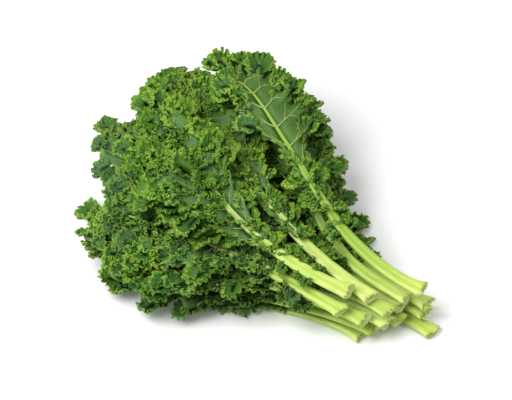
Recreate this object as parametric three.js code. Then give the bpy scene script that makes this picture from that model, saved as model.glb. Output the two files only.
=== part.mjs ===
// A bunch of curly kale, lying on its side as it is sold.
//
// Seventeen cut leaves lie on each other in six layers. Each leaf is a pale stalk, which runs on into the
// leaf as its midrib, and a green blade with a ruffled edge. The stalks lie side by side at +X, with their
// cut ends out, and the blades fan out towards -X and pile up into a mound.
//
// Frame: millimetres, +Z up, the table at Z = 0, the origin on the table below the middle of the bunch.
// Every leaf keeps to its own layer of the pile, and leaves of one layer lie beside each other, so that no
// leaf cuts through another.

import * as THREE from "three";
import { mergeVertices } from "three/addons/utils/BufferGeometryUtils.js";

// The pile: how much height one layer takes, at the cut ends and in the middle of the head.
const LAYER_AT_ENDS = 9.6;
const LAYER_HEAD_RISE = 13.2;
const HEAD = { x: -68, y: 2, alongX: 142, acrossY: 152 };
const UNDULATION = { height: 1.1, alongX: 21, acrossY: 26 };

// The stalk's half width and half height, from its cut end to the leaf's tip. SHARE is the place along it.
const STALK = [
  { share: 0, wide: 8.8, high: 4.9 },
  { share: 0.07, wide: 7.4, high: 4.8 },
  { share: 0.2, wide: 6.6, high: 4.6 },
  { share: 0.42, wide: 5.2, high: 3.7 },
  { share: 0.7, wide: 3.0, high: 2.4 },
  { share: 1, wide: 1.1, high: 1.0 },
];
const STALK_SIDES = 8;
const STALK_STEPS = 13;
const STALK_GROOVE = 0.32; // how far the upper side is flattened
const TURNED_RISE = 3; // how far the midrib of a turned leaf is raised, over its blade
const MIDRIB_REACH = 0.9; // the midrib's end, as a share of the blade's length

// The blade: half its columns are on each side of the midrib, and its rows run out to the edge.
const BLADE_THICK = 1.6; // measured straight up, because the ruffles slope
const BLADE_GAP = 0.35; // between a midrib and its blade
const COLUMNS = 25;
const ROWS = [0, 0.4, 0.72, 1];
const VEIN_REACH = 0.88; // where the last vein leaves the midrib
const EDGE_LIFT = 6.5; // the blade's height over its layer's floor, at its edge
const MIDRIB_HOLD = 18; // how far from the midrib a blade lies free of it
const VEIN_SLANT = 1.25; // over 1, the veins run forward from the midrib
const EGG = { power: 0.75, base: 0.3, widest: 0.62 }; // the outline: narrow at its base, widest further on
const FOOT = 4; // the half width of the blade's narrow foot
const SWELL = { count: 5, share: 0.09 }; // the lobes of the outline
const EDGE_SAMPLES = 240;

// The ruffles: every second column is a ridge, and the others are furrows.
const RUFFLE = { most: 10, clearance: 4.2, growth: 1.4, even: 0.78, uneven: 0.22 };
const TOOTH = 0.07; // a ridge reaches out this much further than the outline, and a furrow less

// The leaves, from the table up. A spine is a curve in plan, in millimetres: it starts at the cut end, is
// drawn through the neck of the bunch, and ends at the leaf's tip. The widths are the blade's on either
// side of the midrib, as seen from the cut end, and the bare length is the stalk's below the blade.
const LEAVES = [
  // layer, cut end, neck, bend, tip, left width, right width, bare length
  [0, [174, -58], [114, -58], [68, -80], [28, -118], 30, 25, 84],
  [0, [183, -38], [84, -42], [-36, -66], [-138, -88], 42, 48, 122],
  [0, [230, -13], [96, -16], [-34, 22], [-146, 74], 50, 56, 160],
  [0, [201, 6], [126, 2], [98, 16], [70, 58], 27, 25, 76],
  [1, [185, -52], [84, -64], [16, -114], [-70, -154], 46, 44, 100],
  [1, [200, -27], [80, -34], [-62, -22], [-190, 4], 54, 52, 134],
  [1, [213, -4], [96, -8], [4, 62], [-74, 126], 50, 47, 124],
  [2, [196, -44], [82, -54], [-20, -104], [-118, -138], 48, 54, 122],
  [2, [195, -18], [84, -24], [-50, 28], [-146, 90], 58, 40, 124],
  [2, [214, 0], [114, -4], [66, 24], [32, 84], 28, 31, 112],
  [3, [181, -62], [84, -70], [12, -114], [-68, -152], 46, 32, 100],
  [3, [195, -38], [82, -46], [-50, -48], [-172, -42], 48, 54, 116],
  [3, [198, -12], [92, -26], [24, 30], [-40, 124], 42, 38, 106],
  [4, [162, -73], [88, -76], [16, -88], [-104, -122], 56, 46, 82],
  [4, [175, -42], [88, -36], [-24, -16], [-162, 48], 56, 54, 98],
  [5, [158, -56], [82, -74], [-14, -74], [-118, -10], 58, 40, 76],
  [5, [214, -9], [120, -28], [-8, 54], [-104, 84], 36, 60, 140],
];
const TURNED = [13, 17]; // the leaves that show their underside, with the midrib on top

const MIDDLE = { x: 19.5, y: -19 }; // the middle of the bunch in the leaves' coordinates
const STALK_COLOUR = 0xb9cc5c;
const BLADE_COLOUR = 0x3c7226;

const SPINE_SAMPLES = 160;
const smooth = (t) => t * t * (3 - 2 * t);
const between = (t, low, high) => THREE.MathUtils.clamp((t - low) / (high - low), 0, 1);

// The height of one layer of the pile above the point x, y.
function layerHeight(x, y) {
  const dx = (x - HEAD.x) / HEAD.alongX;
  const dy = (y - HEAD.y) / HEAD.acrossY;
  const head = Math.exp(-dx * dx - dy * dy);
  const wave = Math.sin(x / UNDULATION.alongX) * Math.cos(y / UNDULATION.acrossY);
  return LAYER_AT_ENDS + head * (LAYER_HEAD_RISE + UNDULATION.height * wave);
}

// How far a ruffle may reach up or down above the point x, y.
function ruffleHeight(x, y) {
  return Math.min(RUFFLE.most, (layerHeight(x, y) - RUFFLE.clearance) / 2);
}

// A leaf's spine in plan, measured along its length.
class Spine {
  constructor(places) {
    const corners = places.map(([x, y]) => new THREE.Vector3(x, y, 0));
    this.curve = new THREE.CubicBezierCurve3(...corners);
    this.curve.arcLengthDivisions = SPINE_SAMPLES;
    this.length = this.curve.getLength();
  }

  // The point that lies ALONG the spine and ASIDE of it, to the left as seen from the cut end.
  point(along, aside = 0) {
    const share = THREE.MathUtils.clamp(along / this.length, 0, 1);
    const place = this.curve.getPointAt(share);
    const heading = this.curve.getTangentAt(share);
    const over = along - share * this.length;
    const left = new THREE.Vector3(-heading.y, heading.x, 0);
    return place.addScaledVector(heading, over).addScaledVector(left, aside);
  }
}

// The stalk's half width or half height at a share of its length.
function stalkSize(share, key) {
  const next = Math.max(1, STALK.findIndex((s) => s.share >= share));
  const [a, b] = [STALK[next - 1], STALK[next]];
  return THREE.MathUtils.lerp(a[key], b[key], between(share, a.share, b.share));
}

// The blade of a turned leaf lies under its midrib, so that the midrib is raised where the blade begins.
function stalkLift(leaf, share) {
  const raised = leaf.turned ? TURNED_RISE : 0;
  return raised * smooth(between(share, leaf.bladeShare - 0.12, leaf.bladeShare - 0.03));
}

// A stalk with its midrib: a tube along the spine, flatter on top, from the cut end to the last vein. It
// lies on a flat side.
function stalkGeometry(leaf) {
  const halfSide = Math.PI / STALK_SIDES;
  const corner = 1 / Math.cos(halfSide);
  const tube = new THREE.CylinderGeometry(corner, corner, 1, STALK_SIDES, STALK_STEPS, false, halfSide);
  const places = tube.getAttribute("position");
  const reach = leaf.bladeShare + (1 - leaf.bladeShare) * MIDRIB_REACH;
  for (let i = 0; i < places.count; i++) {
    const share = (places.getY(i) + 0.5) * reach;
    const aside = -places.getX(i) * stalkSize(share, "wide");
    const high = stalkSize(share, "high");
    const up = places.getZ(i) > 0 ? places.getZ(i) * (1 - STALK_GROOVE) : places.getZ(i);
    const p = leaf.spine.point(share * leaf.spine.length, aside);
    const floor = leaf.layer * layerHeight(p.x, p.y) + stalkLift(leaf, share);
    places.setXYZ(i, p.x, p.y, floor + high * (1 + up));
  }
  return closed(tube);
}

// The blade's outline on one side: how far along the blade and how far out the edge is, for A from 0 at
// the blade's base to 1 at its tip.
function outline(leaf, a, halfWidth) {
  const along = 0.5 - 0.5 * Math.cos(Math.PI * a);
  const filled = EGG.base + (1 - EGG.base) * smooth(between(along, 0, EGG.widest));
  const egg = Math.sin(Math.PI * a) ** EGG.power * filled;
  const swell = 1 + SWELL.share * Math.sin(2 * Math.PI * SWELL.count * a + leaf.number);
  const foot = FOOT * (1 - a);
  return { along: along * leaf.bladeLength, out: halfWidth * egg * swell + foot };
}

// The columns' places on the outline, an equal length of edge apart.
function columnPlaces(leaf, halfWidth) {
  const edge = [0];
  let last = outline(leaf, 0, halfWidth);
  for (let i = 1; i <= EDGE_SAMPLES; i++) {
    const next = outline(leaf, i / EDGE_SAMPLES, halfWidth);
    edge.push(edge[i - 1] + Math.hypot(next.along - last.along, next.out - last.out));
    last = next;
  }
  const places = [];
  for (let c = 0; c <= COLUMNS; c++) {
    const wanted = (c / COLUMNS) * edge[EDGE_SAMPLES];
    const i = THREE.MathUtils.clamp(edge.findIndex((e) => e > wanted), 1, EDGE_SAMPLES);
    places.push(c === COLUMNS ? 1 : (i - 1 + between(wanted, edge[i - 1], edge[i])) / EDGE_SAMPLES);
  }
  return places;
}

// The blade's middle surface at one column and row. SIDE is 1 on the left and -1 on the right.
function bladePoint(leaf, side, column, row) {
  const a = leaf.places[side][column];
  const edge = outline(leaf, a, side > 0 ? leaf.left : leaf.right);
  const foot = VEIN_REACH * leaf.bladeLength * (edge.along / leaf.bladeLength) ** VEIN_SLANT;
  const ridge = column % 2 === 0 ? 1 : -1;
  const out = edge.out * row * (1 + TOOTH * ridge * row) * (column === COLUMNS ? 0 : 1);
  const along = THREE.MathUtils.lerp(foot, edge.along, row);
  const p = leaf.spine.point(leaf.bare + along, side * out);
  const footShare = (leaf.bare + foot) / leaf.spine.length;
  const midribTop = leaf.turned ? BLADE_GAP : 2 * stalkSize(footShare, "high") + BLADE_GAP;
  const free = Math.min(1, out / MIDRIB_HOLD);
  const lift = THREE.MathUtils.lerp(midribTop + BLADE_THICK / 2, EDGE_LIFT, smooth(row) * free);
  const strength = RUFFLE.even + RUFFLE.uneven * Math.sin(1.7 * column + 2.1 * leaf.number + side);
  const ruffle = ridge * strength * ruffleHeight(p.x, p.y) * row ** RUFFLE.growth * free;
  p.z = leaf.layer * layerHeight(p.x, p.y) + lift + ruffle;
  return p;
}

// The blade: the two halves of the sheet share the row of points over the midrib, and its upper and lower
// faces are split alike, so that they never cross.
function bladeGeometry(leaf) {
  const points = [];
  const faces = [];
  const index = new Map();
  const at = (side, column, row, upper) => {
    const half = row === 0 || column === COLUMNS ? 0 : side;
    const key = [half, column, row, upper].join();
    if (!index.has(key)) {
      const p = bladePoint(leaf, side, column, ROWS[row]);
      const underside = Math.max(p.z - BLADE_THICK / 2, 0);
      index.set(key, points.length / 3);
      points.push(p.x, p.y, underside + (upper ? BLADE_THICK : 0));
    }
    return index.get(key);
  };
  const quad = ([a, b, c, d], flipped) => {
    faces.push(...(flipped ? [a, c, b, a, d, c] : [a, b, c, a, c, d]));
  };
  const last = ROWS.length - 1;
  for (const side of [1, -1]) {
    const flipped = side < 0;
    const wall = (column, row, nextColumn, nextRow) => {
      const upper = [at(side, column, row, true), at(side, nextColumn, nextRow, true)];
      const lower = [at(side, nextColumn, nextRow, false), at(side, column, row, false)];
      quad([...upper, ...lower], flipped);
    };
    for (let c = 0; c < COLUMNS; c++) {
      for (let r = 0; r < last; r++) {
        for (const upper of [true, false]) {
          const inner = [at(side, c, r, upper), at(side, c + 1, r, upper)];
          const outer = [at(side, c + 1, r + 1, upper), at(side, c, r + 1, upper)];
          quad([...inner, ...outer], flipped === upper);
        }
      }
      wall(c, last, c + 1, last);
    }
    for (let r = 0; r < last; r++) wall(0, r, 0, r + 1);
  }
  const blade = new THREE.BufferGeometry();
  blade.setAttribute("position", new THREE.Float32BufferAttribute(points, 3));
  blade.setIndex(faces);
  return closed(blade);
}

// The geometry with only its places, and those that coincide joined, as a closed solid needs.
function closed(geometry) {
  geometry.deleteAttribute("normal");
  geometry.deleteAttribute("uv");
  const joined = mergeVertices(geometry, 1e-4);
  joined.computeVertexNormals();
  return joined;
}

function mesh(name, geometry, color, roughness) {
  const material = new THREE.MeshStandardMaterial({ color, roughness, metalness: 0 });
  const made = new THREE.Mesh(geometry, material);
  made.name = name;
  return made;
}

const bunch = new THREE.Group();
bunch.position.set(-MIDDLE.x, -MIDDLE.y, 0);
LEAVES.forEach(([layer, cut, neck, bend, tip, left, right, bare], i) => {
  const number = i + 1;
  const spine = new Spine([cut, neck, bend, tip]);
  const bladeLength = spine.length - bare;
  const leaf = { layer, number, spine, left, right, bare, bladeLength };
  leaf.bladeShare = bare / spine.length;
  leaf.turned = TURNED.includes(number);
  leaf.places = { 1: columnPlaces(leaf, left), [-1]: columnPlaces(leaf, right) };
  const name = "leaf_" + String(number).padStart(2, "0");
  bunch.add(mesh(name + "_stalk", stalkGeometry(leaf), STALK_COLOUR, 0.45));
  bunch.add(mesh(name + "_blade", bladeGeometry(leaf), BLADE_COLOUR, 0.6));
});

export default bunch;
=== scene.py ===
"""The looks of a bunch of curly kale.

Each leaf is a stalk and a blade. The stalk is a grooved, ribbed tube with a ragged cut end. The blade is a
thin sheet on each side of the midrib, with side veins, and it is covered with curls: small cups with two
orders of frills on their rims. The leaves lie in layers, on the same spines as the solids of the part.
"""

import math

import bpy
import numpy as np
from mathutils import Matrix, Vector


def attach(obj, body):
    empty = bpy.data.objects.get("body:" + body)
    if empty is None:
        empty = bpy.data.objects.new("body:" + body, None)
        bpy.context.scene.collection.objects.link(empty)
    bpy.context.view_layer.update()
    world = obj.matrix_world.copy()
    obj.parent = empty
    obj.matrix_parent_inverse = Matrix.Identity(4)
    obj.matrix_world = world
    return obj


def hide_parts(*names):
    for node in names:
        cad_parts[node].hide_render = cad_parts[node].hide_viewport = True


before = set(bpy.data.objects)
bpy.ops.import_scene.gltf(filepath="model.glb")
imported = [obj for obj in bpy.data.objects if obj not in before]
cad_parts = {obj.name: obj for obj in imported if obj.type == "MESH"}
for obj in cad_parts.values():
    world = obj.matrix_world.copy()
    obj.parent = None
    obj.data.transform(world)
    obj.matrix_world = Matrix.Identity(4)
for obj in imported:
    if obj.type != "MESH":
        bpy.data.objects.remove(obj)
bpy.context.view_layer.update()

SEED = 11
MM = 0.001
TINY = 1e-6
LEAST_LENGTH = 1e-9
UP = np.array([0, 0, 1.0])

# The pile, in millimetres: how much height one layer takes, at the cut ends and in the middle of the head.
LAYER_AT_ENDS = 9.6
LAYER_HEAD_RISE = 13.2
HEAD = {"x": -68, "y": 2, "along": 142, "across": 152}
UNDULATION = {"height": 1.1, "along": 21, "across": 26}

# The place in plan that becomes the origin, and how softly the blades come to rest over the surface.
MIDDLE = (19.5, -19)
SOFT_FLOOR = 2

# The leaves, from the table up: layer, cut end, neck, bend, tip, left width, right width, bare length.
LEAVES = [
    [0, [174, -58], [114, -58], [68, -80], [28, -118], 30, 25, 84],
    [0, [183, -38], [84, -42], [-36, -66], [-138, -88], 42, 48, 122],
    [0, [230, -13], [96, -16], [-34, 22], [-146, 74], 50, 56, 160],
    [0, [201, 6], [126, 2], [98, 16], [70, 58], 27, 25, 76],
    [1, [185, -52], [84, -64], [16, -114], [-70, -154], 46, 44, 100],
    [1, [200, -27], [80, -34], [-62, -22], [-190, 4], 54, 52, 134],
    [1, [213, -4], [96, -8], [4, 62], [-74, 126], 50, 47, 124],
    [2, [196, -44], [82, -54], [-20, -104], [-118, -138], 48, 54, 122],
    [2, [195, -18], [84, -24], [-50, 28], [-146, 90], 58, 40, 124],
    [2, [214, 0], [114, -4], [66, 24], [32, 84], 28, 31, 112],
    [3, [181, -62], [84, -70], [12, -114], [-68, -152], 46, 32, 100],
    [3, [195, -38], [82, -46], [-50, -48], [-172, -42], 48, 54, 116],
    [3, [198, -12], [92, -26], [24, 30], [-40, 124], 42, 38, 106],
    [4, [162, -73], [88, -76], [16, -88], [-104, -122], 56, 46, 82],
    [4, [175, -42], [88, -36], [-24, -16], [-162, 48], 56, 54, 98],
    [5, [158, -56], [82, -74], [-14, -74], [-118, -10], 58, 40, 76],
    [5, [214, -9], [120, -28], [-8, 54], [-104, 84], 36, 60, 140],
]
TURNED = (13, 17)
SPINE_POINTS = 400

# The stalk: share of its length, half width, half height. Then how much flatter its top is than its
# underside, and how far over its middle line the things on top of it begin, in half heights.
STALK = np.array([
    (0, 8.8, 4.9),
    (0.07, 7.4, 4.8),
    (0.2, 6.6, 4.6),
    (0.42, 5.2, 3.7),
    (0.7, 3.0, 2.4),
    (1, 1.1, 1.0),
])
HALF_WIDTH = 1
HALF_HEIGHT = 2
STALK_FLAT = 0.32
STALK_TOP = 1.1
STALK_MESH = {"sides": 30, "rings": 46, "crowding": 1.1}

# Shares of a leaf's length are counted from where its blade begins: where a turned leaf's midrib rises to the
# top, and where a midrib gets slimmer.
TURNED_RISE = {"height": 3.0, "from": -0.12, "to": -0.03}
SLIMMER = {"share": 0.35, "from": -0.05, "to": 0.2}

# How far along the blade its midrib reaches, and how far out on the midrib's half width the sheets begin.
MIDRIB_REACH = 0.9
MIDRIB_COVERED = 0.7

# The stalk's flare at the cut, its ribs (how many, depth, turn from leaf to leaf) and the groove on its top.
FLARE = {"share": 0.16, "reach": 7}
RIBS = [(11, 0.02, 1), (5, 0.03, 2)]
GROOVE = {"depth": 0.3, "width": 0.3}

# The cut face: how ragged its rim is, and its inner rings, which sink towards the middle.
CUT_RIM = {"rough": 0.5, "bumps": 5, "bump": 2.2, "slant": 1.2, "reach": 5}
CUT_RINGS = (0.97, 0.7, 0.42, 0.15)
CUT_HOLLOW = 2.4
CUT_ROUGH = 0.5

# The loose fibres of a torn cut end.
TORN = {"leaves": (7, 10), "fibres": 14, "points": 7, "length": (4, 11), "thick": 0.55, "thicker": (0.6, 1.5)}
TORN_START = {"along": 1.0, "aside": 0.85, "over": 0.7}
TORN_WAY = {"spread": 0.45, "rise": 0.2, "bend": 0.05}

# The blade's outline: an egg with swells, which starts a little beside the stalk.
EGG = {"power": 0.75, "base": 0.3, "widest": 0.62}
SWELL = {"count": 5, "share": 0.09}
FOOT = 4
EDGE_LIFT = 6.5
VEIN_REACH = 0.88
VEIN_SLANT = 1.25

# The smooth sheet of half a blade: its rows from the midrib to its edge, and its columns from foot to tip.
ROWS = np.array([0, 0.3, 0.6, 0.82, 1.0])
COARSE_ROWS = 3
SHEET_COLUMNS = 80
TURNED_COLUMNS = 240
LEAF_THICK = 0.4
SHEET_TONE = -0.8

# How far the sheet ends inside the blade's outline, where curls take over: at its sides, more at the sides of
# some leaves, and at its tip.
SHEET_INSET = 12.5
TRIMMED = {1: 24, 2: 7, 3: 8, 4: 5, 5: 7, 6: 4, 7: 5, 8: 7, 9: 7, 10: 7, 11: 2, 12: 0, 13: 4, 15: 8, 17: 4}
TIP_INSET = {12: 15, 14: 16, 15: 17}
TIP_INSET_ELSEWHERE = 8
LEAST_WIDTH = 0.3

# The half of the turned leaf that is narrow near its foot, so that the leaf below shows: leaf, side, shares.
NARROW = {"leaf": 17, "side": -1, "from": 0.2, "to": 0.5, "least": 0.5}

# The waves of a sheet, and the finer ones along the edge of a turned leaf.
SHEET_WAVES = {"wave": 24, "height": 6.0, "loop": 0.1, "start": 0.25, "power": 1.5}
TURNED_WAVES = {"wave": 9, "height": 2.2, "loop": 0.3, "start": 0.6, "power": 1.3}
RUFFLE = {"uneven": 0.35, "strength": 0.85, "change": 0.4, "ends": 0.05, "fewest": 2}
RUFFLE_SWAY = {"amount": 0.3, "twist": 0.6, "shift": 6}
FEWEST_KNOTS = 4
LAST_KNOT_GAP = 0.001

# The side veins, the quilting between them and the finer veins that branch off them: start and lean.
VEINS = {"count": 11.5, "bend": 0.9, "points": 9, "reach": 0.86, "lift": 0.3}
VEIN_THICK = 0.55
VEIN_THICK_TURNED = 1.0
QUILT = 1.3
TURNED_QUILT = -2.6
BRANCHES = [(0.25, 1), (0.45, -1)]
BRANCH = {"points": 6, "reach": 0.88, "drift": 0.07, "thick": 0.5}
VEIN_SIDES = 5
VEIN_TAPER = 0.8
VEIN_MARK = -1.0
LAST_COLUMN_GAP = 0.01

# A curl: a cup with a frilled rim. One value for each layer where there are six.
CURL_ROWS = np.array([0, 0.375, 0.6875, 1.0])
CURL_COARSE_ROWS = 2
CURL_COLUMNS = (40, 40, 44, 52, 60, 60)
CURL_PROFILE_STEPS = 16
CURL_SIZE = (7, 17)
CURL_SIZE_POWER = 1.5
CURL_INNER_SIZE = 0.85
CURL_SCALE = {1: 0.3, 5: 0.85, 16: 1.12}
CURL_NECK = 0.45
CURL_WAY = {"turn": 1.1, "forward": 0.3, "tilt": 0.3}
CURL_RIM = {"uneven": 0.2, "bumps": 6, "centre": 0.9, "width": 1.1}
CURL_RISE = {"start": (-0.2, 0.3), "end": (0.8, 1.6), "uneven": 0.6, "bumps": 4, "power": 1.4}
CURL_TONE = 0.6

# The two orders of frills on a curl's rim: wave, height, loop. Larger curls have somewhat larger frills.
FRILLS = [(6.8, 2.9, 0.38), (3.4, 0.65, 0.3)]
FRILL_START = 0.2
FRILL_POWER = 1.3
FRILL_SCALE = (0.6, 0.4)

# Where curls grow on a half blade: between which rows and columns, how far apart, and how they lean.
CURL_INNER = (0.55, 0.5, 0.35, 0.08, 0, 0)
CURL_INNER_TURNED = 0.7
CURL_OUTER = 0.97
CURL_SPAN = (0.02, 0.97)
CURL_SPACING = (8.0, 8.0, 7.6, 7.3, 7.2, 7.2)
CURL_TRIES = 900
CURL_LEAN = {"range": (-0.1, 0.3), "outer": 0.45, "power": 3}
FACING_IN = {"row": 0.25, "share": 0.5}
NEARBY = {"rows": 0.15, "columns": 2}

# How much of a blade has no curls beside its midrib: rows, and share of its length.
OPEN = {14: (0.35, 0.25), 15: (0.4, 0.3), 16: (0.46, 0.46)}
OPEN_ELSEWHERE = (0.35, 0.13)

# Smooth places without curls: leaf, side, row, share of the blade's columns, radius.
BARE_PLACES = [
    (12, 1, 0.55, 0.74, 15),
    (12, 1, 0.3, 0.88, 15),
    (12, -1, 0.4, 0.86, 16),
    (5, 1, 0.6, 0.72, 15),
    (16, -1, 0.5, 0.5, 12),
    (15, 1, 0.6, 0.75, 11),
    (9, 1, 0.7, 0.6, 12),
    (17, 1, 0.2, 0.5, 20),
    (17, -1, 0.5, 0.42, 15),
]

# The small curls along a stalk below its blade, and larger ones that lie over a stalk: leaf, along it, size.
STRAY = {"count": 9, "lowest_layer": 2, "start": 4, "reach": 46, "crowding": 1.3, "aside": 0.85}
STRAY_SIZE = (4.5, 9)
STRAY_LEAN = (0, 0.8)
COVERING = [(17, 140, 10), (17, 128, 9), (17, 116, 7)]
COVERING_PLACE = {"aside": -0.2, "over": 1.5, "lean": 0.3}

# How warm each leaf's green is, from -1 to 1. The leaves that aren't named are in between.
WARMTH = {16: 0.45, 15: 0.25, 13: 0.2, 12: -0.75, 14: -0.2, 5: -0.3, 11: 0.1, 10: -0.2}

# The part of the head where the leaves are young and yellower: place in plan, radius, lowest layer.
YOUNG = {"place": (-8, -28), "radius": 30, "warmth": 1.1, "layer": 4}

# How much darker green a stalk's underside and lower sides are, as painted shade between the stalks, and how
# much greener some stalks get towards the blade: by leaf, and over which share of their length.
STALK_UNDERSIDE_SHADE = {"amount": 2.4, "from": -0.25, "to": 0.6}
STALK_GREENER = {17: 3.3, 13: 1.8, 10: 1.4}
STALK_GREENER_SHARE = (-0.04, 0.42)

# Blade colours: green from painted shade in the folds to a painted highlight on the curl rims, and what is
# mixed in.
FOLD_SHADE_TO_RIM_HIGHLIGHT = [
    (0.0, (0.031, 0.107, 0.016)),
    (0.45, (0.043, 0.15, 0.014)),
    (0.75, (0.079, 0.252, 0.014)),
    (0.9, (0.18, 0.445, 0.02)),
    (1.0, (0.56, 0.8, 0.06)),
]
UNDERSIDE = (0.13, 0.275, 0.045)
WARM_GREEN = (0.235, 0.46, 0.02)
COOL_GREEN = (0.145, 0.27, 0.125)
SPECK_GREEN = (0.03, 0.075, 0.012)
FINE_VEIN_GREEN = (0.16, 0.33, 0.07)
# Painted shade: the near-black green of large dark patches over the blades.
PAINTED_SHADE_GREEN = (0.02, 0.07, 0.012)
SIDE_VEIN_PALE = (0.38, 0.50, 0.15)

# The colours of the stalks: from the cut end to the tip of the midrib, and what is mixed into them.
CUT_TO_TIP = [
    (0.0, (0.56, 0.66, 0.14)),
    (0.25, (0.46, 0.59, 0.11)),
    (0.42, (0.38, 0.49, 0.13)),
    (0.6, (0.23, 0.35, 0.065)),
    (1.0, (0.17, 0.30, 0.05)),
]
STREAK_GREEN = (0.25, 0.42, 0.045)
BLOTCH_GREEN = (0.3, 0.47, 0.05)
PALE_STALK = (0.72, 0.80, 0.34)
# A greener stalk colour, which also paints the shade on the stalks' undersides.
GREEN_AND_SHADED_STALK = (0.26, 0.42, 0.05)
CUT_PALE = (0.62, 0.67, 0.26)
CUT_DARK = (0.34, 0.41, 0.11)

# How strongly each colour is mixed in. A negative value mixes it in where the tone is below zero.
BLADE_MIX = {"patches": 0.3, "underside": 0.75, "warm": 0.45, "cool": -0.5, "specks": 0.35}
BLADE_LINES = {"fine_veins": 0.3, "shade_patches": 0.4, "sharpness": 9, "pucker": 0.6}
STALK_MIX = {"streaks": 0.5, "blotches": 0.35, "pale": 0.3, "green": -0.4}
STREAK_STRETCH = (0.12, 1, 1)
SPECULAR = 0.36
THROUGH = 0.22

# The numbers of the sockets of a colour mix.
MIX_SHARE = 0
MIX_BASE = 6
MIX_OTHER = 7
MIX_RESULT = 2

# The floor, the studio light (name, place, size, power) and the camera, which has the photograph's angle. The
# size of the photograph, and where the point is from which the leaves are measured, are in pixels.
FLOOR = {"size": 6.0, "colour": (0.9, 0.9, 0.9), "roughness": 0.7}
WORLD_LIGHT = 0.6
LAMPS = [("key", (-0.3, -0.7, 1.25), 1.1, 23), ("fill", (0.9, 0.6, 1.1), 1.0, 4)]
LAMP_TARGET = (0, 0, 0.05)
ELEVATION = math.radians(48)
AZIMUTH = math.radians(36)
PHOTO = (512, 400)
ORIGIN_IN_PHOTO = (254, 226)
FAR = 10.0
FURTHEST = 40
SENSOR_WIDTH = 36


def smooth(t):
    return t * t * (3 - 2 * t)


def between(t, low, high):
    return np.clip((t - low) / (high - low), 0, 1)


def unit(v):
    return v / np.maximum(np.linalg.norm(v, axis=-1, keepdims=True), LEAST_LENGTH)


def flat_vector(x, y):
    return np.array([x, y, 0])


def layer_height(x, y):
    dx = (x - HEAD["x"]) / HEAD["along"]
    dy = (y - HEAD["y"]) / HEAD["across"]
    wave = np.sin(x / UNDULATION["along"]) * np.cos(y / UNDULATION["across"])
    return LAYER_AT_ENDS + np.exp(-dx * dx - dy * dy) * (LAYER_HEAD_RISE + UNDULATION["height"] * wave)


def stalk_size(share, column):
    return np.interp(share, STALK[:, 0], STALK[:, column])


class Leaf:
    """A leaf's numbers and its spine in plan, measured along its length."""

    def __init__(self, number, row):
        self.number = number
        self.layer, *corners, self.left, self.right, self.bare = row
        self.name = f"leaf_{number:02d}"
        self.turned = number in TURNED
        cut, neck, bend, tip = (np.array(corner, float) for corner in corners)
        t = np.linspace(0, 1, SPINE_POINTS)[:, None]
        towards_neck = (1 - t) ** 3 * cut + 3 * (1 - t) ** 2 * t * neck
        self.path = towards_neck + 3 * (1 - t) * t ** 2 * bend + t ** 3 * tip
        self.heading = unit(np.gradient(self.path, axis=0))
        steps = np.linalg.norm(np.diff(self.path, axis=0), axis=1)
        self.run = np.concatenate([[0], np.cumsum(steps)])
        self.length = self.run[-1]
        self.blade_length = self.length - self.bare
        self.blade_share = self.bare / self.length

    def place(self, along, aside):
        """The plan position ALONG the spine and ASIDE of it, to the left as seen from the cut end."""
        x, y = (np.interp(along, self.run, self.path[:, axis]) for axis in (0, 1))
        hx, hy = (np.interp(along, self.run, self.heading[:, axis]) for axis in (0, 1))
        over = np.maximum(along - self.length, 0) + np.minimum(along, 0)
        return x + hx * over - hy * aside, y + hy * over + hx * aside

    def floor(self, x, y):
        return self.layer * layer_height(x, y)

    def rise(self, share):
        """How far the stalk lies over the layer's floor: a turned leaf has its midrib on top."""
        raised = TURNED_RISE["height"] if self.turned else 0
        start = self.blade_share + TURNED_RISE["from"]
        return raised * smooth(between(share, start, self.blade_share + TURNED_RISE["to"]))

    def midrib(self, share):
        """Half the width of the stalk, which is slimmer along the blade."""
        start = self.blade_share + SLIMMER["from"]
        slim = 1 - SLIMMER["share"] * smooth(between(share, start, self.blade_share + SLIMMER["to"]))
        return stalk_size(share, HALF_WIDTH) * slim

    def edge(self, turn, side):
        """The blade's outline at a TURN of 0 to 1: how far along the blade and how far out its edge is."""
        along = 0.5 - 0.5 * np.cos(np.pi * turn)
        filled = EGG["base"] + (1 - EGG["base"]) * smooth(between(along, 0, EGG["widest"]))
        egg = np.sin(np.pi * np.clip(turn, 0, 1)) ** EGG["power"] * filled
        swell = 1 + SWELL["share"] * np.sin(2 * np.pi * SWELL["count"] * turn + self.number)
        half = self.left if side > 0 else self.right
        return along * self.blade_length, half * egg * swell + FOOT * (1 - turn)

    def by_stalk(self, along, aside, over):
        """A point by the stalk and its heading: ASIDE and OVER are shares of the half width and height."""
        share = along / self.length
        x, y = self.place(along, aside * self.midrib(share))
        z = self.floor(x, y) + self.rise(share) + over * stalk_size(share, HALF_HEIGHT)
        heading = flat_vector(*self.place(along + 1, 0)) - flat_vector(*self.place(along, 0))
        return np.array([x, y, z]), heading


def wander(count, bumps, random):
    """A smooth random run of values from about -1 to 1, with so many bumps."""
    knots = random.uniform(-1, 1, max(FEWEST_KNOTS, int(bumps) + 2))
    at = np.linspace(0, len(knots) - 1 - LAST_KNOT_GAP, count)
    before = at.astype(int)
    return knots[before] + smooth(at - before) * (knots[before + 1] - knots[before])


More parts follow.
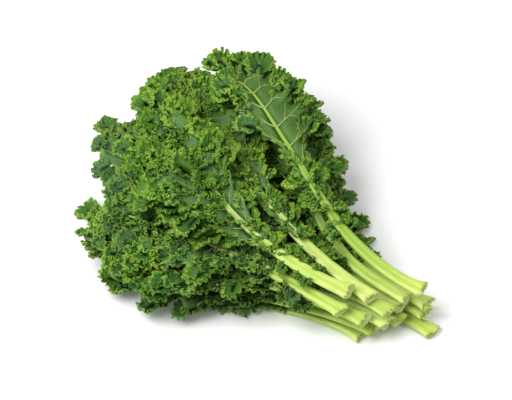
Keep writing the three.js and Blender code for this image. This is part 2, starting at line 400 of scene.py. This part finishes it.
def ruffle(grid, rows, random, wave, height, loop, start, power):
    """Throws a grid of points (row, column, xyz) into waves that grow towards its outer edge."""
    along = unit(np.gradient(grid, axis=1))
    out = unit(np.gradient(grid, axis=0))
    normal = unit(np.cross(along, out))
    steps = np.linalg.norm(np.diff(grid[-1], axis=0), axis=1)
    run = np.concatenate([[0], np.cumsum(steps)])
    bumps = max(RUFFLE["fewest"], run[-1] / wave)
    columns = grid.shape[1]
    uneven = RUFFLE["uneven"] * wander(columns, bumps, random)
    phase = 2 * np.pi * (run / wave + uneven) + random.uniform(0, 2 * np.pi)
    strength = RUFFLE["strength"] + RUFFLE["change"] * wander(columns, bumps, random)
    from_end = np.minimum(np.arange(columns), np.arange(columns)[::-1]) / columns
    fade = smooth(between(from_end, 0, RUFFLE["ends"]))
    size = (height * strength * fade)[None, :] * (between(rows, start, 1)[:, None] ** power)
    wind = phase + RUFFLE_SWAY["twist"] * (1 - rows[:, None])
    lifted = normal * (size * np.sin(wind))[..., None]
    looped = along * (-loop * size * np.sin(2 * wind))[..., None]
    shift = random.uniform(0, RUFFLE_SWAY["shift"])
    swayed = out * (RUFFLE_SWAY["amount"] * size * np.cos(2 * wind + shift))[..., None]
    return grid + lifted + looped + swayed


def strip(inner, outer):
    """Triangles between two rows of indices, which have as many columns each."""
    a, b, c, d = inner[:-1], inner[1:], outer[1:], outer[:-1]
    return np.concatenate([np.stack([a, b, c], 1), np.stack([a, c, d], 1)])


def widening_strip(inner, outer):
    """Triangles between a row of indices and an outer one with twice the columns."""
    a, b = inner[:-1], inner[1:]
    c, middle, d = outer[:-1:2], outer[1::2], outer[2::2]
    triangles = ([a, middle, c], [a, b, middle], [b, d, middle])
    return np.concatenate([np.stack(corners, 1) for corners in triangles])


def ring_strip(near, far):
    """Triangles between two closed rings of indices."""
    near_next, far_next = np.roll(near, -1), np.roll(far, -1)
    return np.concatenate([np.stack([near, far, far_next], 1), np.stack([near, far_next, near_next], 1)])


def fan(ring, middle):
    """Triangles between a closed ring of indices and its middle point."""
    return np.stack([ring, np.roll(ring, -1), np.full(len(ring), middle)], 1)


def cap(ring):
    """Triangles that close a ring of indices, from its first one."""
    return np.stack([np.full(len(ring) - 2, ring[0]), ring[1:-1], ring[2:]], 1)


def shell(grid, rows, coarse_rows, tone, under=(0.0, 1.0)):
    """A closed thin lens of a grid, whose two sheets share their border: points, triangles and values."""
    count, columns = grid.shape[:2]
    normal = unit(np.cross(np.gradient(grid, axis=1), np.gradient(grid, axis=0)))
    total = count * columns
    points = np.concatenate([grid.reshape(-1, 3), (grid - LEAF_THICK * normal).reshape(-1, 3)])
    index = np.arange(total).reshape(count, columns)
    faces = []
    for i in range(count - 1):
        if i < coarse_rows - 1:
            faces.append(strip(index[i][::2], index[i + 1][::2]))
        elif i == coarse_rows - 1:
            faces.append(widening_strip(index[i][::2], index[i + 1]))
        else:
            faces.append(strip(index[i], index[i + 1]))
    top = np.concatenate(faces)
    below = index + total
    for border in (np.s_[0], np.s_[-1], np.s_[:, 0], np.s_[:, -1]):
        below[border] = index[border]
    # A corner triangle with all its points on the border would be a flap, the same in both sheets.
    flap = np.all(below.ravel()[top] < total, axis=1)
    top = top[~flap]
    triangles = np.concatenate([top, below.ravel()[top[:, ::-1]]])
    edge = np.tile(np.repeat(rows, columns), 2)
    return points, triangles, edge, np.full(2 * total, tone), np.repeat(under, total)


def sheet_width(leaf, side, turn, edge_out):
    """How far out the smooth sheet of half a blade reaches, inside the blade's outline."""
    inset = SHEET_INSET + TRIMMED.get(leaf.number, 0)
    width = np.maximum(edge_out - inset, LEAST_WIDTH * edge_out)
    if leaf.number == NARROW["leaf"] and side == NARROW["side"]:
        widened = smooth(between(turn, NARROW["from"], NARROW["to"]))
        width = width * (NARROW["least"] + (1 - NARROW["least"]) * widened)
    return width


def blade_half(leaf, side, columns):
    """The smooth sheet on one side of the midrib, quilted between its veins, before it is ruffled."""
    turn = np.linspace(0, 1, columns + 1)
    edge_along, edge_out = leaf.edge(turn, side)
    foot = VEIN_REACH * leaf.blade_length * (edge_along / leaf.blade_length) ** VEIN_SLANT
    row = ROWS[:, None]
    share = (leaf.bare + foot) / leaf.length
    rib = MIDRIB_COVERED * leaf.midrib(share) * (turn < 1)
    width = sheet_width(leaf, side, turn, edge_out)
    tip_inset = TIP_INSET.get(leaf.number, TIP_INSET_ELSEWHERE)
    sheet_along = edge_along * (1 - tip_inset / leaf.blade_length)
    out = rib + (width - rib) * row * (turn < 1)
    along = foot + (sheet_along - foot) * row
    x, y = leaf.place(leaf.bare + along, side * out)
    top = leaf.rise(share) + STALK_TOP * stalk_size(share, HALF_HEIGHT)
    from_vein = np.sin(np.pi * VEINS["count"] * turn ** (1 / VEINS["bend"])) ** 2
    quilt = (TURNED_QUILT if leaf.turned else QUILT) * from_vein * 4 * row * (1 - row)
    lift = top + (EDGE_LIFT - top) * smooth(row) + quilt
    return np.stack([x, y, leaf.floor(x, y) + lift], -1)


def sample(grid, row, column):
    """The point of a sheet's grid at a row share and a column number that lie between its own."""
    i = min(np.searchsorted(ROWS, row, "right") - 1, len(ROWS) - 2)
    j = min(int(column), grid.shape[1] - 2)
    u = (row - ROWS[i]) / (ROWS[i + 1] - ROWS[i])
    v = column - j
    return ((1 - u) * (1 - v) * grid[i, j] + (1 - u) * v * grid[i, j + 1]
            + u * (1 - v) * grid[i + 1, j] + u * v * grid[i + 1, j + 1])


def profile(steps):
    """Running sums of the steps of a profile, from its start."""
    return np.concatenate([np.zeros((1, steps.shape[1])), np.cumsum(steps[1:], axis=0)]) / CURL_PROFILE_STEPS


def curl_tone(leaf, foot, random):
    """How warm a curl's green is: by chance, by its leaf and by how near it is to the young leaves."""
    tone = CURL_TONE * random.uniform(-1, 1) + WARMTH.get(leaf.number, 0)
    if leaf.layer >= YOUNG["layer"] and not leaf.turned:
        apart = np.hypot(*(foot[:2] - YOUNG["place"])) / YOUNG["radius"]
        tone += YOUNG["warmth"] * np.exp(-apart ** 2)
    return tone


def curl(foot, out, along, lean, size, leaf, random):
    """A small cup with a frilled rim, joined at FOOT, which leans OUT from the midrib."""
    columns = CURL_COLUMNS[leaf.layer]
    angle = random.uniform(-CURL_WAY["turn"], CURL_WAY["turn"])
    ahead = np.cos(angle) * out + (np.sin(angle) + CURL_WAY["forward"]) * along
    up = unit(UP + lean * out + random.uniform(-CURL_WAY["tilt"], CURL_WAY["tilt"]) * along)
    ahead = unit(ahead - up * np.dot(ahead, up))
    side = np.cross(up, ahead)
    turn = np.linspace(1, -1, columns + 1) * (np.pi - CURL_NECK)
    reach = size * (1 + CURL_RIM["uneven"] * wander(columns + 1, CURL_RIM["bumps"], random))
    back = smooth(np.abs(turn) / np.pi)
    foot_u = size * CURL_RIM["centre"] * (1 - back)
    away_u = size * CURL_RIM["centre"] + reach * np.cos(turn) - foot_u
    away_v = CURL_RIM["width"] * reach * np.sin(turn)
    steep = random.uniform(*CURL_RISE["end"])
    steep = steep + CURL_RISE["uneven"] * wander(columns + 1, CURL_RISE["bumps"], random)
    start = random.uniform(*CURL_RISE["start"])
    fine = np.linspace(0, 1, CURL_PROFILE_STEPS + 1)[:, None]
    slope = start + (steep - start) * fine ** CURL_RISE["power"]
    at = np.rint(CURL_ROWS * CURL_PROFILE_STEPS).astype(int)
    flat = profile(np.cos(slope))[at]
    u = foot_u + away_u * flat
    v = away_v * flat
    w = np.hypot(away_u, away_v) * profile(np.sin(slope))[at]
    grid = foot + u[..., None] * ahead + v[..., None] * side + w[..., None] * up
    scale = FRILL_SCALE[0] + FRILL_SCALE[1] * size / np.mean(CURL_SIZE)
    for wave, height, loop in FRILLS:
        frill = (wave * scale, height * scale, loop, FRILL_START, FRILL_POWER)
        grid = ruffle(grid, CURL_ROWS, random, *frill)
    return shell(grid, CURL_ROWS, CURL_COARSE_ROWS, curl_tone(leaf, foot, random))


def curl_spots(leaf, side, grid, random):
    """Where a half blade's curls grow: rows and columns of its grid, with room between them."""
    last = grid.shape[1] - 1
    smooth_places = [
        (sample(grid, row, share * last), radius)
        for number, place_side, row, share, radius in BARE_PLACES
        if number == leaf.number and place_side == side
    ]
    inner = CURL_INNER_TURNED if leaf.turned else CURL_INNER[leaf.layer]
    spacing = CURL_SPACING[leaf.layer]
    open_row, open_share = OPEN.get(leaf.number, OPEN_ELSEWHERE)
    spots = []
    taken = np.zeros((0, 3))
    for _ in range(CURL_TRIES):
        row = random.uniform(inner, CURL_OUTER)
        column = random.uniform(*CURL_SPAN) * last
        point = sample(grid, row, column)
        if len(taken) and np.min(np.linalg.norm(taken[:, :2] - point[:2], axis=1)) < spacing:
            continue
        if any(np.linalg.norm(point - middle) < radius for middle, radius in smooth_places):
            continue
        if row < open_row and column < open_share * grid.shape[1]:
            continue
        spots.append((row, column))
        taken = np.concatenate([taken, point[None]])
    return spots


def curl_parts(leaf, side, grid, random):
    """The curls on one half of a blade."""
    parts = []
    last = grid.shape[1] - 1
    for row, column in curl_spots(leaf, side, grid, random):
        foot = sample(grid, row, column)
        nearer = sample(grid, max(row - NEARBY["rows"], 0), column)
        before = sample(grid, row, max(column - NEARBY["columns"], 0))
        after = sample(grid, row, min(column + NEARBY["columns"], last))
        out = unit((foot - nearer) * [1, 1, 0] + TINY)
        along = unit((after - before) * [1, 1, 0] + TINY)
        if row < FACING_IN["row"] and random.uniform() < FACING_IN["share"]:
            out = -out
        lean = random.uniform(*CURL_LEAN["range"]) + CURL_LEAN["outer"] * row ** CURL_LEAN["power"]
        small, large = CURL_SIZE
        size = small + (large - small) * random.uniform() ** CURL_SIZE_POWER
        size *= (CURL_INNER_SIZE + (1 - CURL_INNER_SIZE) * row) * CURL_SCALE.get(leaf.number, 1)
        parts.append(curl(foot, out, along, lean, size, leaf, random))
    return parts


def stray_curls(leaf, random):
    """The small curls that grow along the stalk, below the blade."""
    parts = []
    for _ in range(STRAY["count"] if leaf.layer >= STRAY["lowest_layer"] else 0):
        side = random.choice([-1, 1])
        along = leaf.bare + STRAY["start"] - STRAY["reach"] * random.uniform() ** STRAY["crowding"]
        foot, heading = leaf.by_stalk(along, side * STRAY["aside"], STALK_TOP)
        out = side * flat_vector(-heading[1], heading[0])
        size = random.uniform(*STRAY_SIZE)
        lean = random.uniform(*STRAY_LEAN)
        parts.append(curl(foot, out, heading, lean, size, leaf, random))
    return parts


def covering_curls(leaf, random):
    """The larger curls that grow beside a stalk and lie over it."""
    parts = []
    for number, along, size in COVERING:
        if number == leaf.number:
            foot, heading = leaf.by_stalk(along, COVERING_PLACE["aside"], COVERING_PLACE["over"])
            out = flat_vector(heading[1], -heading[0])
            parts.append(curl(foot, out, heading, COVERING_PLACE["lean"], size, leaf, random))
    return parts


def vein_part(line, thick, lift):
    """A vein or a fibre: a thin tapering tube along a line."""
    count = len(line)
    angle = np.linspace(0, 2 * np.pi, VEIN_SIDES, endpoint=False)
    tangent = unit(np.gradient(line, axis=0))
    aside = unit(np.cross(UP, tangent))
    up = np.cross(tangent, aside)
    size = (thick * (1 - VEIN_TAPER * np.linspace(0, 1, count)))[:, None, None]
    ring = aside[:, None] * np.cos(angle)[None, :, None] + up[:, None] * np.sin(angle)[None, :, None]
    grid = line[:, None] + ring * size
    grid[..., 2] += lift
    index = np.arange(count * VEIN_SIDES).reshape(count, VEIN_SIDES)
    faces = [ring_strip(near, far)[:, ::-1] for near, far in zip(index[:-1], index[1:])]
    faces += [cap(index[0])[:, ::-1], cap(index[-1])]
    total = count * VEIN_SIDES
    edge = np.full(total, VEIN_MARK)
    return grid.reshape(-1, 3), np.concatenate(faces), edge, np.zeros(total), np.zeros(total)


def vein_parts(leaf, grid):
    """The side veins of half a blade, and the finer ones that branch off them."""
    parts = []
    columns = grid.shape[1] - 1
    thick = VEIN_THICK_TURNED if leaf.turned else VEIN_THICK
    rows = np.linspace(0, VEINS["reach"], VEINS["points"])
    for number in range(1, int(VEINS["count"])):
        column = columns * (number / VEINS["count"]) ** VEINS["bend"]
        line = np.array([sample(grid, row, column) for row in rows])
        parts.append(vein_part(line, thick, VEINS["lift"]))
        for start, lean in BRANCHES:
            branch_rows = np.linspace(start, BRANCH["reach"], BRANCH["points"])
            drift = lean * BRANCH["drift"] * columns * (branch_rows - start) / (1 - start)
            at = np.clip(column + drift, 0, columns - LAST_COLUMN_GAP)
            line = np.array([sample(grid, row, place) for row, place in zip(branch_rows, at)])
            parts.append(vein_part(line, BRANCH["thick"] * thick, VEINS["lift"]))
    return parts


def blade_parts(leaf, random):
    """Both halves of a blade: the sheet, its side veins and its curls."""
    parts = []
    columns = TURNED_COLUMNS if leaf.turned else SHEET_COLUMNS
    for side in (1, -1):
        grid = blade_half(leaf, side, columns)
        grid = ruffle(grid, ROWS, random, **SHEET_WAVES)
        if leaf.turned:
            grid = ruffle(grid, ROWS, random, **TURNED_WAVES)
        tone, under = (0, (1.0, 0.0)) if leaf.turned else (SHEET_TONE, (0.0, 1.0))
        parts.append(shell(grid[:, ::side], ROWS, COARSE_ROWS, tone, under))
        parts += curl_parts(leaf, side, grid, random)
        parts += vein_parts(leaf, grid)
    return parts + stray_curls(leaf, random) + covering_curls(leaf, random)


def stalk_grid(leaf, share, angle, random):
    """The rings of a stalk and its midrib, ribbed and grooved, with a ragged rim at the cut."""
    flare = 1 + FLARE["share"] * np.exp(-((share * leaf.length / FLARE["reach"]) ** 2))
    wide = (leaf.midrib(share) * flare)[:, None]
    high = stalk_size(share, HALF_HEIGHT)[:, None]
    rib = 1
    for count, depth, turn in RIBS:
        rib = rib + depth * np.cos(count * angle + turn * leaf.number)
    across, up = np.cos(angle) * rib, np.sin(angle) * rib
    groove = GROOVE["depth"] * np.exp(-((np.cos(angle) / GROOVE["width"]) ** 2)) * (np.sin(angle) > 0)
    up = np.where(up > 0, up * (1 - STALK_FLAT), up) - groove
    rough = random.uniform(-1, 1, len(angle)) * CUT_RIM["rough"]
    ragged = rough + wander(len(angle), CUT_RIM["bumps"], random) * CUT_RIM["bump"]
    near_cut = np.exp(-((share * leaf.length / CUT_RIM["reach"]) ** 2))[:, None]
    along = share[:, None] * leaf.length + near_cut * (ragged + CUT_RIM["slant"] * across)
    x, y = leaf.place(along, wide * across)
    z = leaf.floor(x, y) + leaf.rise(share)[:, None] + high * (1 + up)
    return np.stack([x, y, z], -1)


def cut_rings(leaf, rim, random):
    """The rings of a cut face, which step in from its rim and sink towards its middle."""
    centre = rim.mean(axis=0)
    outward = flat_vector(*-leaf.heading[0])
    rings = []
    for scale in CUT_RINGS:
        proud = random.uniform(-CUT_ROUGH, CUT_ROUGH, len(rim)) - CUT_HOLLOW * (1 - scale ** 2)
        rings.append(centre + (rim - centre) * scale + proud[:, None] * outward)
    return rings


def stalk_part(leaf, random):
    """A stalk and its midrib: a ribbed tube with a groove on top and a ragged cut end."""
    sides = STALK_MESH["sides"]
    reach = leaf.blade_share + (1 - leaf.blade_share) * MIDRIB_REACH
    share = reach * np.linspace(0, 1, STALK_MESH["rings"]) ** STALK_MESH["crowding"]
    angle = np.linspace(0, 2 * np.pi, sides, endpoint=False)
    grid = stalk_grid(leaf, share, angle, random)
    tube = grid.reshape(-1, 3)
    middles = grid[[0, -1]].mean(axis=1)
    face = np.concatenate([*cut_rings(leaf, grid[0], random), middles[:1]])
    points = np.concatenate([tube, face, middles[1:]])

    index = np.arange(len(tube)).reshape(-1, sides)
    faces = [ring_strip(near, far) for near, far in zip(index[:-1], index[1:])]
    ring = index[0]
    for number in range(len(CUT_RINGS)):
        inner = len(tube) + number * sides + np.arange(sides)
        faces.append(ring_strip(ring, inner)[:, ::-1])
        ring = inner
    faces.append(fan(ring, len(points) - 2))
    faces.append(fan(index[-1], len(points) - 1)[:, ::-1])

    edge = np.concatenate([np.repeat(share, sides), np.zeros(len(face)), [1]])
    cut = np.concatenate([np.zeros(len(tube)), np.ones(len(face)), [0]])
    tone = np.full(len(points), random.uniform(-1, 1))
    # Painted shade: the underside and lower sides of the stalk get a darker green.
    shaded_underside = smooth(between(-np.sin(angle), STALK_UNDERSIDE_SHADE["from"], STALK_UNDERSIDE_SHADE["to"]))
    tone[:len(tube)] -= np.tile(STALK_UNDERSIDE_SHADE["amount"] * shaded_underside, len(share))
    greener = STALK_GREENER.get(leaf.number, 0) * smooth(between(share, *STALK_GREENER_SHARE))
    tone[:len(tube)] -= np.repeat(greener, sides)
    return points, np.concatenate(faces), edge, tone, cut


def fibre_parts(leaf, random):
    """The loose fibres of a torn cut end, which bend as they run out of the stalk."""
    parts = []
    outward = flat_vector(*-leaf.heading[0])
    for _ in range(TORN["fibres"]):
        angle = random.uniform(0, 2 * np.pi)
        aside = TORN_START["aside"] * leaf.midrib(0) * np.cos(angle)
        x, y = leaf.place(TORN_START["along"], aside)
        z = leaf.floor(x, y) + stalk_size(0, HALF_HEIGHT) * (1 + TORN_START["over"] * np.sin(angle))
        spread = random.uniform(-TORN_WAY["spread"], TORN_WAY["spread"], 3)
        heading = unit(outward + spread + TORN_WAY["rise"] * UP)
        bend = random.uniform(-TORN_WAY["bend"], TORN_WAY["bend"], 3)
        run = np.linspace(0, random.uniform(*TORN["length"]), TORN["points"])[:, None]
        line = np.array([x, y, z]) + run * heading + run ** 2 * bend
        parts.append(vein_part(line, TORN["thick"] * random.uniform(*TORN["thicker"]), 0))
    return parts


def stalk_parts(leaf, random):
    """A stalk with its midrib, and the fibres of its cut end where it is torn."""
    parts = [stalk_part(leaf, random)]
    if leaf.number in TORN["leaves"]:
        parts += fibre_parts(leaf, random)
    return parts


def joined(parts):
    """Parts of points, triangles, edge, tone and under as one, without the points that no triangle uses."""
    points, faces, values = [], [], []
    start = 0
    for part_points, part_faces, *part_values in parts:
        used, renumbered = np.unique(part_faces, return_inverse=True)
        points.append(part_points[used])
        faces.append(renumbered.reshape(-1, 3) + start)
        values.append([value[used] for value in part_values])
        start += len(used)
    return np.concatenate(points), np.concatenate(faces), [np.concatenate(value) for value in zip(*values)]


def make_mesh(name, parts, material, node):
    """Joins parts into one object that stands for a node."""
    points, faces, values = joined(parts)
    if node.endswith("blade"):
        points[:, 2] = 0.5 * (points[:, 2] + np.sqrt(points[:, 2] ** 2 + SOFT_FLOOR ** 2))
    points = (points - flat_vector(*MIDDLE)) * MM
    mesh = bpy.data.meshes.new(name)
    mesh.vertices.add(len(points))
    mesh.vertices.foreach_set("co", points.ravel())
    mesh.loops.add(3 * len(faces))
    mesh.loops.foreach_set("vertex_index", faces.ravel().astype(np.int32))
    mesh.polygons.add(len(faces))
    mesh.polygons.foreach_set("loop_start", np.arange(0, 3 * len(faces), 3, dtype=np.int32))
    mesh.polygons.foreach_set("use_smooth", np.ones(len(faces), dtype=bool))
    mesh.update(calc_edges=True)
    for key, value in zip(("edge", "tone", "under"), values):
        layer = mesh.attributes.new(key, "FLOAT", "POINT")
        layer.data.foreach_set("value", value.astype(np.float32))
    mesh.materials.append(material)
    piece = bpy.data.objects.new(name, mesh)
    bpy.context.scene.collection.objects.link(piece)
    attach(piece, "root")
    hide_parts(node)


class Nodes:
    """A material and the nodes that are added to it."""

    def __init__(self, name):
        self.material = bpy.data.materials.new(name)
        self.material.use_nodes = True
        self.tree = self.material.node_tree
        self.tree.nodes.clear()

    def add(self, kind, **values):
        node = self.tree.nodes.new(kind)
        for key, value in values.items():
            setattr(node, key, value)
        return node

    def link(self, output, socket):
        self.tree.links.new(output, socket)

    def feed(self, value, socket):
        """Sets a socket to a number or a colour, or links it to another node's output."""
        if isinstance(value, (int, float)):
            socket.default_value = value
        elif isinstance(value, tuple):
            socket.default_value = (*value, 1)
        else:
            self.link(value, socket)

    def attribute(self, name):
        return self.add("ShaderNodeAttribute", attribute_name=name).outputs["Fac"]

    def place(self):
        return self.add("ShaderNodeTexCoord").outputs["Object"]

    def ramp(self, share, stops):
        node = self.add("ShaderNodeValToRGB")
        while len(node.color_ramp.elements) < len(stops):
            node.color_ramp.elements.new(0.5)
        for element, (position, colour) in zip(node.color_ramp.elements, stops):
            element.position = position
            element.color = (*colour, 1)
        self.link(share, node.inputs["Fac"])
        return node.outputs["Color"]

    def mix(self, share, base, other):
        node = self.add("ShaderNodeMix", data_type="RGBA")
        self.feed(share, node.inputs[MIX_SHARE])
        self.feed(base, node.inputs[MIX_BASE])
        self.feed(other, node.inputs[MIX_OTHER])
        return node.outputs[MIX_RESULT]

    def math(self, operation, first, second):
        node = self.add("ShaderNodeMath", operation=operation)
        self.feed(first, node.inputs[0])
        self.feed(second, node.inputs[1])
        return node.outputs[0]

    def times(self, value, factor):
        return self.math("MULTIPLY", value, factor)

    def clamp(self, value):
        node = self.add("ShaderNodeClamp")
        self.link(value, node.inputs["Value"])
        return node.outputs["Result"]

    def above(self, value, start, gain):
        """How far a value is above its start, as a share of 0 to 1."""
        return self.clamp(self.times(self.math("SUBTRACT", value, start), gain))

    def noise(self, scale, detail=3.0, rough=0.5, place=None):
        node = self.add("ShaderNodeTexNoise")
        self.link(place or self.place(), node.inputs["Vector"])
        node.inputs["Scale"].default_value = scale
        node.inputs["Detail"].default_value = detail
        node.inputs["Roughness"].default_value = rough
        return node.outputs["Fac"]

    def cells(self, scale):
        """The distance to the nearest border of a pattern of cells."""
        node = self.add("ShaderNodeTexVoronoi", feature="DISTANCE_TO_EDGE")
        self.link(self.place(), node.inputs["Vector"])
        node.inputs["Scale"].default_value = scale
        return node.outputs["Distance"]

    def bump(self, height, strength, distance):
        node = self.add("ShaderNodeBump")
        node.inputs["Strength"].default_value = strength
        node.inputs["Distance"].default_value = distance
        self.link(height, node.inputs["Height"])
        return node.outputs["Normal"]

    def surface(self, colour, normal, roughness):
        """The shader of a solid surface."""
        principled = self.add("ShaderNodeBsdfPrincipled")
        principled.inputs["Specular IOR Level"].default_value = SPECULAR
        principled.inputs["Roughness"].default_value = roughness
        self.link(colour, principled.inputs["Base Color"])
        self.link(normal, principled.inputs["Normal"])
        return principled.outputs[0]

    def thin(self, surface, colour, share):
        """A surface of which a share lets light through in its own colour."""
        translucent = self.add("ShaderNodeBsdfTranslucent")
        self.link(colour, translucent.inputs["Color"])
        mixed = self.add("ShaderNodeMixShader")
        mixed.inputs[0].default_value = share
        self.link(surface, mixed.inputs[1])
        self.link(translucent.outputs[0], mixed.inputs[2])
        return mixed.outputs[0]

    def finish(self, surface):
        self.link(surface, self.add("ShaderNodeOutputMaterial").inputs["Surface"])
        return self.material


def blade_material():
    nodes = Nodes("kale_blade")
    edge = nodes.attribute("edge")
    tone = nodes.attribute("tone")
    patches = nodes.math("SUBTRACT", nodes.noise(scale=38, detail=4, rough=0.6), 0.5)
    # The leaf's green, darkened in the folds as painted shade and brightened at the rims as a painted
    # highlight.
    shade_to_highlight = nodes.math("ADD", edge, nodes.times(patches, BLADE_MIX["patches"]))
    colour = nodes.ramp(shade_to_highlight, FOLD_SHADE_TO_RIM_HIGHLIGHT)
    under = nodes.times(nodes.attribute("under"), BLADE_MIX["underside"])
    colour = nodes.mix(under, colour, UNDERSIDE)
    colour = nodes.mix(nodes.clamp(nodes.times(tone, BLADE_MIX["warm"])), colour, WARM_GREEN)
    colour = nodes.mix(nodes.clamp(nodes.times(tone, BLADE_MIX["cool"])), colour, COOL_GREEN)
    specks = nodes.noise(scale=420, detail=3, rough=0.6)
    colour = nodes.mix(nodes.times(specks, BLADE_MIX["specks"]), colour, SPECK_GREEN)
    from_line = nodes.times(nodes.cells(scale=260), BLADE_LINES["sharpness"])
    fine_veins = nodes.clamp(nodes.math("SUBTRACT", 1, from_line))
    colour = nodes.mix(nodes.times(fine_veins, BLADE_LINES["fine_veins"]), colour, FINE_VEIN_GREEN)
    # Large random dark patches of painted shade.
    shade_patches = nodes.above(nodes.noise(scale=16, detail=2, rough=0.5), start=0.42, gain=3.5)
    colour = nodes.mix(nodes.times(shade_patches, BLADE_LINES["shade_patches"]), colour, PAINTED_SHADE_GREEN)
    side_vein = nodes.math("LESS_THAN", edge, VEIN_MARK / 2)
    colour = nodes.mix(side_vein, colour, SIDE_VEIN_PALE)
    pucker = nodes.times(nodes.noise(scale=900, detail=4, rough=0.6), BLADE_LINES["pucker"])
    normal = nodes.bump(nodes.math("SUBTRACT", pucker, fine_veins), strength=0.4, distance=0.0006)
    surface = nodes.surface(colour, normal, roughness=0.42)
    return nodes.finish(nodes.thin(surface, colour, THROUGH))


def stalk_material():
    nodes = Nodes("kale_stalk")
    tone = nodes.attribute("tone")
    stretched = nodes.add("ShaderNodeMapping")
    stretched.inputs["Scale"].default_value = STREAK_STRETCH
    nodes.link(nodes.place(), stretched.inputs["Vector"])
    streaks = nodes.noise(scale=520, place=stretched.outputs[0])
    colour = nodes.ramp(nodes.attribute("edge"), CUT_TO_TIP)
    lines = nodes.above(streaks, start=0.4, gain=4)
    colour = nodes.mix(nodes.times(lines, STALK_MIX["streaks"]), colour, STREAK_GREEN)
    blotches = nodes.above(nodes.noise(scale=34, detail=2, rough=0.5), start=0.45, gain=5)
    colour = nodes.mix(nodes.times(blotches, STALK_MIX["blotches"]), colour, BLOTCH_GREEN)
    colour = nodes.mix(nodes.clamp(nodes.times(tone, STALK_MIX["pale"])), colour, PALE_STALK)
    # Where the tone is below zero, the darker green: the stalk's own greener parts and the painted shade on
    # its underside.
    colour = nodes.mix(nodes.clamp(nodes.times(tone, STALK_MIX["green"])), colour, GREEN_AND_SHADED_STALK)
    cut_face = nodes.mix(nodes.noise(scale=900, detail=4, rough=0.7), CUT_PALE, CUT_DARK)
    colour = nodes.mix(nodes.attribute("under"), colour, cut_face)
    normal = nodes.bump(streaks, strength=0.5, distance=0.0008)
    return nodes.finish(nodes.surface(colour, normal, roughness=0.36))


def floor_material():
    nodes = Nodes("pale_floor")
    principled = nodes.add("ShaderNodeBsdfPrincipled")
    nodes.feed(FLOOR["colour"], principled.inputs["Base Color"])
    nodes.feed(FLOOR["roughness"], principled.inputs["Roughness"])
    return nodes.finish(principled.outputs[0])


def make_floor():
    mesh = bpy.data.meshes.new("floor")
    half = FLOOR["size"] / 2
    corners = [(-half, -half, 0), (half, -half, 0), (half, half, 0), (-half, half, 0)]
    mesh.from_pydata(corners, [], [(0, 1, 2, 3)])
    mesh.materials.append(floor_material())
    floor = bpy.data.objects.new("floor", mesh)
    bpy.context.scene.collection.objects.link(floor)
    return floor


def light_world():
    world = bpy.data.worlds.new("studio")
    world.use_nodes = True
    background = world.node_tree.nodes["Background"]
    background.inputs["Color"].default_value = (1, 1, 1, 1)
    background.inputs["Strength"].default_value = WORLD_LIGHT
    bpy.context.scene.world = world


def add_lamp(name, place, size, power):
    """A round soft lamp that shines at the bunch."""
    light = bpy.data.lights.new(name, "AREA")
    light.shape = "DISK"
    light.size = size
    light.energy = power
    lamp = bpy.data.objects.new(name, light)
    lamp.location = place
    direction = Vector(LAMP_TARGET) - Vector(place)
    lamp.rotation_euler = direction.to_track_quat("-Z", "Y").to_euler()
    bpy.context.scene.collection.objects.link(lamp)


def add_camera():
    """A camera at the photograph's angle, from far off, with one photo pixel for each millimetre."""
    back = np.array([
        math.sin(AZIMUTH) * math.cos(ELEVATION),
        -math.cos(AZIMUTH) * math.cos(ELEVATION),
        math.sin(ELEVATION),
    ])
    right = flat_vector(math.cos(AZIMUTH), math.sin(AZIMUTH))
    above = np.cross(back, right)
    aside, down = (size / 2 - at for size, at in zip(PHOTO, ORIGIN_IN_PHOTO))
    look = (right * aside - above * down - flat_vector(*MIDDLE)) * MM
    place = look + back * FAR
    lens = bpy.data.cameras.new("camera")
    lens.sensor_fit = "HORIZONTAL"
    lens.sensor_width = SENSOR_WIDTH
    lens.lens = SENSOR_WIDTH * FAR / (PHOTO[0] * MM)
    lens.clip_end = FURTHEST
    camera = bpy.data.objects.new("camera", lens)
    rows = np.stack([right, above, back, place], 1).tolist()
    camera.matrix_world = Matrix([*rows, (0, 0, 0, 1)])
    bpy.context.scene.collection.objects.link(camera)
    bpy.context.scene.camera = camera


blade = blade_material()
stalk = stalk_material()
for number, row in enumerate(LEAVES, 1):
    leaf = Leaf(number, row)
    random = np.random.default_rng(SEED + number)
    make_mesh(leaf.name + "_blade_fine", blade_parts(leaf, random), blade, leaf.name + "_blade")
    make_mesh(leaf.name + "_stalk_fine", stalk_parts(leaf, random), stalk, leaf.name + "_stalk")

floor = make_floor()
light_world()
for name, place, size, power in LAMPS:
    add_lamp(name, place, size, power)
add_camera()
bpy.context.scene.view_settings.view_transform = "Standard"
